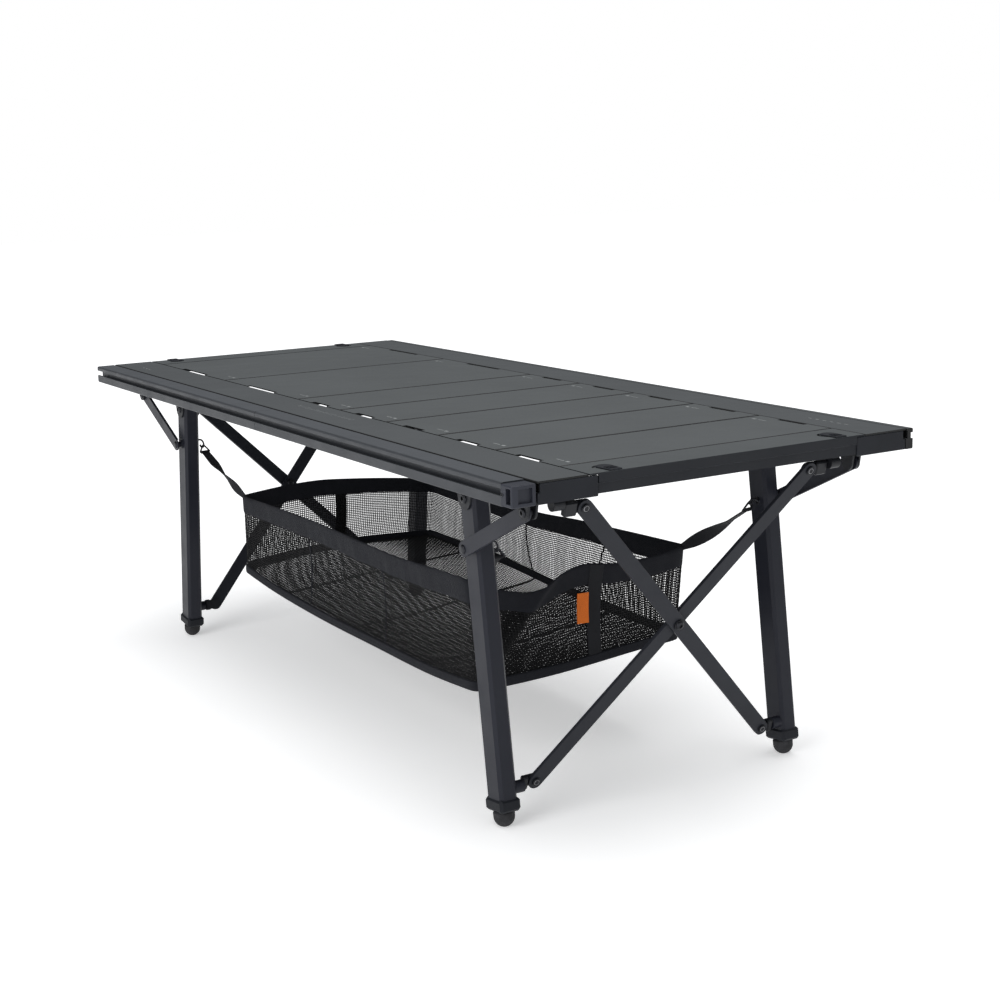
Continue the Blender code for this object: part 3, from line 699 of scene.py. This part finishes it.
def tuck(walls, starts):
    """The slack net folded under itself at the near right corner."""
    top, stations = 8, 27
    corner = walls[starts[1] + 3, top:]
    right = walls[starts[1]:starts[2], top:]
    rows = len(corner)
    share = np.linspace(0, 1, rows)
    reach = np.linspace(0, 1, stations)
    grid = np.zeros((stations, rows, 3))
    for j in range(rows):
        y_end = -66.0 - 74.0 * share[j]
        y = corner[j, 1] + (y_end - corner[j, 1]) * reach
        for k in (0, 2):
            grid[:, j, k] = np.interp(y, right[:, j, 1], right[:, j, k])
        grid[:, j, 1] = y
        grid[:, j, 0] -= 4.0 + 7.0 * np.sin(np.pi * reach) * (1 - 0.5 * share[j])
    return grid


def rim_band(walls, outward, finish):
    """Doubled tape folded over the walls' top edge, a little wrinkled."""
    depth = int(BAND / PITCH) + 1
    share = np.linspace(0, BAND / PITCH, depth + 1)
    line = np.stack([
        np.stack([np.interp(share, np.arange(walls.shape[1]), wall[:, k]) for k in range(3)], axis=1)
        for wall in walls
    ])
    turns = np.arange(len(walls))
    wrinkle = 0.12 * np.sin(turns * 0.63 + 0.7) + 0.4 * np.sin(turns * 0.23)
    wrinkle = wrinkle + 0.5 * np.sin(turns * 0.11 + 2.0) ** 5
    outer, inner = 1.5 + wrinkle, -1.3 + wrinkle
    rings = [line[:, 0] + np.array([0, 0, 1.6])]
    for k in range(depth + 1):
        rings.append(line[:, k] + outward * (outer * (0.75 if k in (0, depth) else 1.0))[:, None])
    for k in range(depth, -1, -1):
        rings.append(line[:, k] + outward * inner[:, None])
    return ring_piece("basket_rim_band", np.stack(rings, axis=1), finish)


def foot_binding(walls, finish):
    """Bound edge along the foot of the walls."""
    foot = walls[:, -1]
    ahead = unit(np.roll(foot, -1, axis=0) - np.roll(foot, 1, axis=0))
    out = unit(np.cross(ahead, UP))
    section = [(-1.6, -3.0), (0.4, -4.2), (2.2, -3.2), (2.6, 0.0),
               (2.0, 7.0), (0.2, 8.2), (-1.2, 7.2), (-2.0, 0.5)]
    points, faces = sweep(foot, out, UP, section, closed=True)
    return new_piece("basket_foot_binding", points, faces, finish)


def wall_strip(surface, side, place, section, lean=0.0, top=0, lift=1.5):
    """A strip down the wall of ROUND[side], from place along it, leaning by lean by the time it ends."""
    walls, outward, starts = surface
    last = starts[side + 1] if side < 3 else None
    along = walls[starts[side]:last, 0, side % 2]
    first = int(np.argmin(np.abs(along - place))) + starts[side]
    count = walls.shape[1]
    index = first + np.round(np.linspace(0, lean / PITCH, count)).astype(int)
    line = walls[index, np.arange(count)] + outward[first] * lift
    return sweep(line[top:], unit(walls[first + 1, 0] - walls[first - 1, 0]), outward[first], section)


def blank_tab(walls, starts, finish):
    """A blank folded tab on the right end, beside the webbing."""
    i = int(np.argmin(np.abs(walls[starts[1]:starts[2], 0, 1] - 3))) + starts[1]
    heights = np.linspace(-209, -247, 9)
    drift = np.linspace(0, 1.5, 9) * 0.4
    out = np.interp(-heights, -walls[i, :, 2], walls[i, :, 0]) + 3.2
    line = np.column_stack([out, 2.6 + drift, heights])
    tab = sweep(line, np.array([0.12, 1.0, 0]), np.array([1.0, -0.12, 0]), tape_section(15.5, 1.6))
    return new_piece("basket_blank_tab", *tab, finish)


def build_basket(tape, fabric, edging, label_finish):
    """The hanging basket, as its pieces and the surface of its walls.

    A net shell with a bound rim and foot, webbing down its ends and under its floor, seams and a tab.
    """
    surface = basket_walls()
    walls, outward, starts = surface
    skip = round(NET_START / PITCH)
    shell = walls[:, skip:]
    half = starts[2]
    floor = floor_grid(walls, starts)
    made = [
        net("basket_net_front_right", shell[:half + 1], fabric),
        net("basket_net_rear_left", np.vstack([shell[half:], shell[:1]]), fabric),
        net("basket_net_tuck", tuck(walls, starts), fabric),
        net("basket_net_floor", floor, fabric, width=1.6, height=0.8),
        rim_band(walls, outward, edging),
        foot_binding(walls, edging),
    ]
    for name, side, place, width in (("right", 1, 21, 20), ("left", 3, 5, 18)):
        strip = wall_strip(surface, side, place, tape_section(width, 1.2))
        made.append(new_piece(f"basket_end_webbing_{name}", *strip, tape))
    seams = [
        wall_strip(surface, side, place, tape_section(3.0, 1.0), lean, skip, 0.6)
        for side, place, lean in ((0, -110.0, 0.0), (0, 110.0, 0.0), (2, -55.0, -40.0), (2, 158.0, 26.0))
    ]
    made.append(new_piece("basket_wall_seams", *merged(seams), edging))
    bands = []
    for place in (-205.0, -15.0, 175.0):
        i = int(np.argmin(np.abs(floor[:, floor.shape[1] // 2, 0] - place)))
        bands.append(sweep(floor[i] - UP * 1.4, np.array([1.0, 0, 0]), UP, tape_section(5, 1.1)))
    made.append(new_piece("basket_floor_webbing", *merged(bands), tape))
    made.append(blank_tab(walls, starts, label_finish))
    return made, walls


def ring_piece(name, rings, finish):
    """A closed band from stations, each a closed ring of points."""
    count, around = rings.shape[:2]
    faces = []
    for i in range(count):
        j = (i + 1) % count
        for k in range(around):
            m = (k + 1) % around
            faces.append((i * around + k, j * around + k, j * around + m, i * around + m))
    return new_piece(name, rings.reshape(-1, 3), faces, finish)


def strap(start, ring, sx):
    """A tape that turns from upright to flat on its way, with the last directions ahead, flat and up."""
    middle = (start + ring) / 2 + np.array([0, 0, -2.5])
    line = smooth_line([start, middle, ring], 22)
    ahead = unit(np.gradient(line, axis=0))
    flat = unit(np.cross(ahead, UP))
    high = np.cross(flat, ahead)
    share = np.linspace(0, 1, len(line))
    angle = (math.pi / 2) * (1 - np.clip((share - 0.25) / 0.5, 0, 1) ** 1.2) * sx
    side = flat * np.cos(angle)[:, None] + high * np.sin(angle)[:, None]
    up = np.cross(ahead, side)
    # Gathered where it is sewn on, full in the middle and a little narrower at the ring.
    widths = 16.0 - 8.0 * np.exp(-((share / 0.16) ** 2)) - 3.0 * share ** 4
    sections = np.array([tape_section(width, 1.3) for width in widths])
    return sweep(line, side, up, sections), ahead[-1], flat[-1], up[-1]


def build_straps(walls, tape, metal):
    """A webbing strap from each corner to a wire triangle and an S-hook on the leg's inner face.

    Returns (piece, body) pairs, with None for what hangs with the basket.
    """
    pieces = []
    rim = walls[:, 0]
    turns = np.linspace(0, 2 * math.pi, 14, False)
    for side_name, sy in SIDES:
        for end_name, sx in ENDS:
            where = f"{side_name}_{end_name}"
            corner = rim[int(np.argmax(rim[:, 0] * sx + rim[:, 1] * sy * 1.4))]
            start = corner + np.array([-sx * 3.0, -sy * 3.0, -3.0])
            ring = np.array([sx * 424.5, sy * 173.0, -117.0 + sy * 3.0])
            eye = np.array([sx * 428.3, sy * 186.0, -104.0])
            band, ahead, across, up = strap(start, ring, sx)
            pieces.append((new_piece(f"basket_strap_{where}", *band, tape), None))

            # Wire triangle through the strap's end loop.
            climb = unit(np.array([sx * 3.0, sy * 1.5, 10.0]))
            tip = ring + climb * 10.5
            corners = [ring + across * 8.0, ring + across * 4.5 + climb * 5.5, tip,
                       ring - across * 4.5 + climb * 5.5, ring - across * 8.0, ring]
            pieces.append((new_piece(f"basket_ring_{where}", *wire(corners, 1.2, 42, True), metal), None))
            bar = np.array([ring + across * way for way in (-6.5, -2.5, 2.5, 6.5)])
            sleeve = sweep(bar, ahead, up, round_section(2.3, 12))
            pieces.append((new_piece(f"basket_strap_loop_{where}", *sleeve, tape), None))

            # S-hook from the leg's eyelet to the triangle's tip.
            path = [eye + (sx * 3, sy * 4, -4), eye + (sx * 1, sy * 1, -1), eye + (0, -sy * 4, 2.5),
                    eye + (-sx * 1, -sy * 9, 2), eye + (-sx * 1, -sy * 12, -2.5),
                    tip + (0, -sy * 0.5, -2.3), tip + (0, sy * 3, -2.5), tip + (0, sy * 5, 1)]
            body = f"leg_{where}_assembly"
            pieces.append((new_piece(f"basket_hook_{where}", *wire(path, 1.3, 40), metal), body))
            collar = wire([eye + (3.6 * math.cos(t), 0, 3.6 * math.sin(t)) for t in turns], 0.9, 28, True)
            pieces.append((new_piece(f"leg_eyelet_{where}", *collar, metal), body))
    return pieces


# ---------------------------------------------------------------------------------------------- hardware

LEG_X, LEG_Y, LEG_HALF_DEPTH = 421.0, 197.0, 11.0
BRACKET_EAR = 2.4
BRACKET_PLATE = -26.1
HINGE = -51.0
SPLAY = math.radians(7)
STUD_ALONG_LEG = 54.2
STRUT_STUD = 217.5
STRUT_PIN = (556.0, 220.4, -43.0)
BRACE_LEAN = math.radians(16.04)
BRACE_X, BRACE_BOTTOM = 467.0, -368.0
BRACE_MIDDLE, BRACE_TOP = 171.6, 336.6
BRACE_OUTER, BRACE_INNER = 6.7, 1.4


def brace_point(sx, y, v, n):
    """A place on an end brace: across, up its own plane and out of it."""
    return (
        sx * (BRACE_X + v * math.sin(BRACE_LEAN) + n * math.cos(BRACE_LEAN)), y,
        BRACE_BOTTOM + v * math.cos(BRACE_LEAN) - n * math.sin(BRACE_LEAN),
    )


def build_fasteners(metal, bare):
    """Screw and rivet heads on the joints, each riding with the body that carries it."""
    heads, rims = {}, {}

    def add(body, *args, **kind):
        heads.setdefault(body, []).append(screw_head(*args, **kind))

    for side_name, sy in SIDES:
        for end_name, sx in ENDS:
            where = f"{side_name}_{end_name}"
            outer = LEG_Y + LEG_HALF_DEPTH + BRACKET_EAR
            inner = LEG_Y - LEG_HALF_DEPTH - BRACKET_EAR
            pin_x, pin_y, pin_z = STRUT_PIN
            add("frame", 6.0, 2.6, (sx * LEG_X, sy * outer, HINGE), (0, sy, 0))
            add("frame", 5.5, 2.2, (sx * LEG_X, sy * inner, HINGE), (0, -sy, 0), hexed=False)
            add("frame", 5.2, 2.0, (sx * pin_x, sy * pin_y, pin_z), (0, sy, 0))
            stud_x = LEG_X + math.sin(SPLAY) * STUD_ALONG_LEG
            stud_z = HINGE - math.cos(SPLAY) * STUD_ALONG_LEG
            add(f"strut_{where}", 5.2, 1.7, (sx * stud_x, sy * STRUT_STUD, stud_z), (0, sy, 0), hexed=False)
            for u, v in ((-15, -14), (15, -14), (-15, 14), (15, 14)):
                rivet = (sx * LEG_X + u, sy * LEG_Y + v, BRACKET_PLATE)
                add("frame", 3.1, 1.3, rivet, (0, 0, -1), hexed=False)
    add("frame", 2.0, 0.9, (598.0, -269.0, -12.0), (0, -1, 0))
    for end_name, sx in ENDS:
        out = np.array([sx * math.cos(BRACE_LEAN), 0, -math.sin(BRACE_LEAN)])
        body = f"brace_{end_name}"
        add(body, 5.2, 1.8, brace_point(sx, 0, BRACE_MIDDLE, BRACE_OUTER), out)
        add(body, 5.2, 1.8, brace_point(sx, 0, BRACE_MIDDLE, -BRACE_OUTER), -out)
        first, second = np.array([0, 1.0, 0]), np.cross(out, (0, 1.0, 0))
        turns = np.linspace(0, 2 * math.pi, 16, False)
        for y, v, n in ((157, 0, BRACE_OUTER), (-151, BRACE_TOP, BRACE_OUTER),
                        (-157, 0, BRACE_INNER), (151, BRACE_TOP, BRACE_INNER)):
            centre = np.array(brace_point(sx, y, v, n))
            for radius, gauge, group in ((3.0, 0.45, rims), (4.6, 0.4, heads)):
                circle = [
                    centre + first * radius * math.cos(t) + second * radius * math.sin(t) for t in turns
                ]
                group.setdefault(body, []).append(wire(circle, gauge, 26, True))
    for group, label, finish in ((heads, "fasteners", metal), (rims, "rivet_rims", bare)):
        for body, parts in group.items():
            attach(new_piece(f"{label}_{body}", *merged(parts), finish), body)


def plate(outline, low, high, chamfer):
    """A flat plate from an outline, with a chamfered upper edge."""
    outline = np.array(outline, float)
    middle = outline.mean(axis=0)
    reach = np.linalg.norm(outline - middle, axis=1, keepdims=True)
    inner = middle + (outline - middle) * (1 - chamfer / reach)
    rings = [(outline, low), (outline, high - chamfer), (inner, high)]
    points = np.concatenate([np.column_stack([ring, np.full(len(ring), z)]) for ring, z in rings])
    count = len(outline)
    faces = [
        (r * count + i, r * count + (i + 1) % count, (r + 1) * count + (i + 1) % count, (r + 1) * count + i)
        for r in range(2) for i in range(count)
    ]
    faces += [tuple(range(count - 1, -1, -1)), tuple(range(2 * count, 3 * count))]
    return points, faces


def build_latches(plastic):
    """The thumb tabs of the end beams' latches, each with three grip ridges, in its curved slot."""
    turns = np.radians(np.arange(90, 271, 15))
    arc = [(593.0 + 8.8 * math.cos(t), 147.0 + 8.8 * math.sin(t)) for t in turns]
    shapes = [([(613.6, 139.5), (613.6, 154.5), *arc], 0.05, 1.5, 0.6)]
    for x in (600.0 + i * 3.4 for i in range(3)):
        shapes.append(([(x, 141.5), (x + 1.4, 141.5), (x + 1.4, 152.5), (x, 152.5)], 1.4, 2.2, 0.25))
    for end_name, sx in ENDS:
        parts = []
        for _, sy in SIDES:
            for outline, *heights in shapes:
                # A mirrored outline runs the other way round, so its faces still look out.
                turned = outline[::-1] if sx * sy < 0 else outline
                parts.append(plate([(sx * x, sy * y) for x, y in turned], *heights))
        tabs = new_piece(f"latch_tabs_{end_name}", *merged(parts), plastic, smooth=False)
        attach(tabs, f"beam_{end_name}")


def build_prints(finish):
    """Faint generic marks: a dash and a block at each panel's ends, ticks and dashes on the rails."""
    seams = [-562.5, -312.5, -62.5, 62.5, 187.5, 312.5, 437.5, 562.5]

    def bars(rectangles):
        return merged([
            plate([(x0, y0), (x1, y0), (x1, y1), (x0, y1)], -0.02, 0.07, 0.02)
            for x0, y0, x1, y1 in rectangles
        ])

    for number, (left, right) in enumerate(zip(seams, seams[1:]), 1):
        marks = [(right - 38, -159.5, right - 24, -158.3), (right - 20, -160.5, right - 14, -157.0),
                 (left + 24, 158.3, left + 38, 159.5), (left + 14, 157.0, left + 20, 160.5)]
        printed = new_piece(f"panel_{number}_marks", *bars(marks), finish, smooth=False)
        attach(printed, f"panel_{number}_tray")
    ticks = [(-6 + 5 * i, -206.5, -5.3 + 5 * i, -199.5 if i % 5 == 0 else -202.5) for i in range(31)]
    ticks += [(-545 + 12 * i, -219.0, -539 + 12 * i, -217.8) for i in range(3)]
    ticks += [(490 + 12 * i, 209.0, 496 + 12 * i, 210.2) for i in range(6)]
    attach(new_piece("rail_marks", *bars(ticks), finish, smooth=False), "frame")


# ------------------------------------------------------------------------------------------------- stage

FLOOR_REACH = 14.0
FLOOR_GLOW = (0.4, 0.85)
FLOOR_GLOW_FROM, FLOOR_GLOW_TO = 1.2, 3.6
SURROUND_COLOUR, SURROUND_STRENGTH = (0.93, 0.96, 1.0, 1.0), 0.27
WHITE = (1.0, 1.0, 1.0, 1.0)
LAMPS = [
    ("top", (0.1, 0.3, 3.6), 3.6, 112.0),
    ("front", (1.2, -3.4, 1.9), 2.4, 68.0),
    ("end", (3.6, 0.4, 1.5), 1.8, 8.0),
]
LAMP_AIM = Vector((0, 0, 0.3))


def build_floor():
    """A plain pale floor that takes soft shadows near the table and turns white further out."""
    mesh = bpy.data.meshes.new("floor")
    r = FLOOR_REACH
    mesh.from_pydata([(-r, -r, 0), (r, -r, 0), (r, r, 0), (-r, r, 0)], [], [(0, 1, 2, 3)])
    floor = bpy.data.objects.new("floor", mesh)
    g = Graph("pale_floor")
    paper = g.ramp(g.noise(3, 3), [(0.3, (0.88, 0.88, 0.88)), (0.7, (0.91, 0.91, 0.91))])
    g.set(Base_Color=paper, Roughness=0.9)
    g.shader.inputs["Emission Color"].default_value = WHITE
    away = g.node("ShaderNodeVectorMath", operation="LENGTH")
    g.link(g.node("ShaderNodeTexCoord").outputs["Object"], away.inputs[0])
    glow = g.spread(away.outputs["Value"], *FLOOR_GLOW, FLOOR_GLOW_FROM, FLOOR_GLOW_TO)
    g.link(glow, g.shader.inputs["Emission Strength"])
    # Seen from below, the floor is clear, so the table's underside shows.
    join = g.node("ShaderNodeMixShader")
    g.link(g.node("ShaderNodeNewGeometry").outputs["Backfacing"], join.inputs["Fac"])
    g.link(g.shader.outputs["BSDF"], join.inputs[1])
    g.link(g.node("ShaderNodeBsdfTransparent").outputs["BSDF"], join.inputs[2])
    g.link(join.outputs["Shader"], g.tree.nodes["Material Output"].inputs["Surface"])
    mesh.materials.append(g.material)
    bpy.context.scene.collection.objects.link(floor)


def build_surround():
    """An even surround: white where the camera sees it, dimmer and slightly cool as light."""
    world = bpy.data.worlds.new("surround")
    world.use_nodes = True
    nodes, links = world.node_tree.nodes, world.node_tree.links
    seen, lit = nodes["Background"], nodes.new("ShaderNodeBackground")
    path, join = nodes.new("ShaderNodeLightPath"), nodes.new("ShaderNodeMixShader")
    seen.inputs["Color"].default_value = WHITE
    lit.inputs["Color"].default_value = SURROUND_COLOUR
    lit.inputs["Strength"].default_value = SURROUND_STRENGTH
    links.new(path.outputs["Is Camera Ray"], join.inputs["Fac"])
    links.new(lit.outputs["Background"], join.inputs[1])
    links.new(seen.outputs["Background"], join.inputs[2])
    links.new(join.outputs["Shader"], nodes["World Output"].inputs["Surface"])
    bpy.context.scene.world = world
    bpy.context.scene.view_settings.view_transform = "Standard"


def build_lamps():
    """Three broad soft lamps, aimed at the table."""
    for name, place, size, power in LAMPS:
        data = bpy.data.lights.new(name, "AREA")
        data.shape = "SQUARE"
        data.size = size
        data.energy = power
        lamp = bpy.data.objects.new(name, data)
        lamp.location = place
        lamp.rotation_euler = (LAMP_AIM - lamp.location).to_track_quat("-Z", "Y").to_euler()
        bpy.context.scene.collection.objects.link(lamp)


# -------------------------------------------------------------------------------------------------- main

build_camera()
build_floor()
build_surround()
build_lamps()
plug_finish = dress_frame()
black_steel = steel("black_steel", BLACK_STEEL, 0.38)
bare_steel = steel("bare_steel", BARE_STEEL, 0.35)
webbing = woven_tape("webbing", WEBBING_BLACK)
edging = woven_tape("edge_tape", EDGE_BLACK, scale=1500, sheen=0.03)
net_yarn = yarn("net_yarn", NET_BLACK)
orange = woven_tape("tab_orange", TAB_ORANGE, scale=1300, sheen=0.05)

# The basket and its straps sink under the rails as the table folds. The hooks go with the legs.
basket, wall_grid = build_basket(webbing, net_yarn, edging, orange)
straps = build_straps(wall_grid, webbing, black_steel)
for piece in basket + [piece for piece, body in straps if body is None]:
    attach(piece, "frame")
    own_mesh(piece)
for piece, body in straps:
    if body is not None:
        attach(piece, body)
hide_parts("storage_basket")
build_fasteners(black_steel, bare_steel)
build_latches(plug_finish)
build_prints(moulded_plastic("pale_ink", INK, 0.7, grain=0.01))
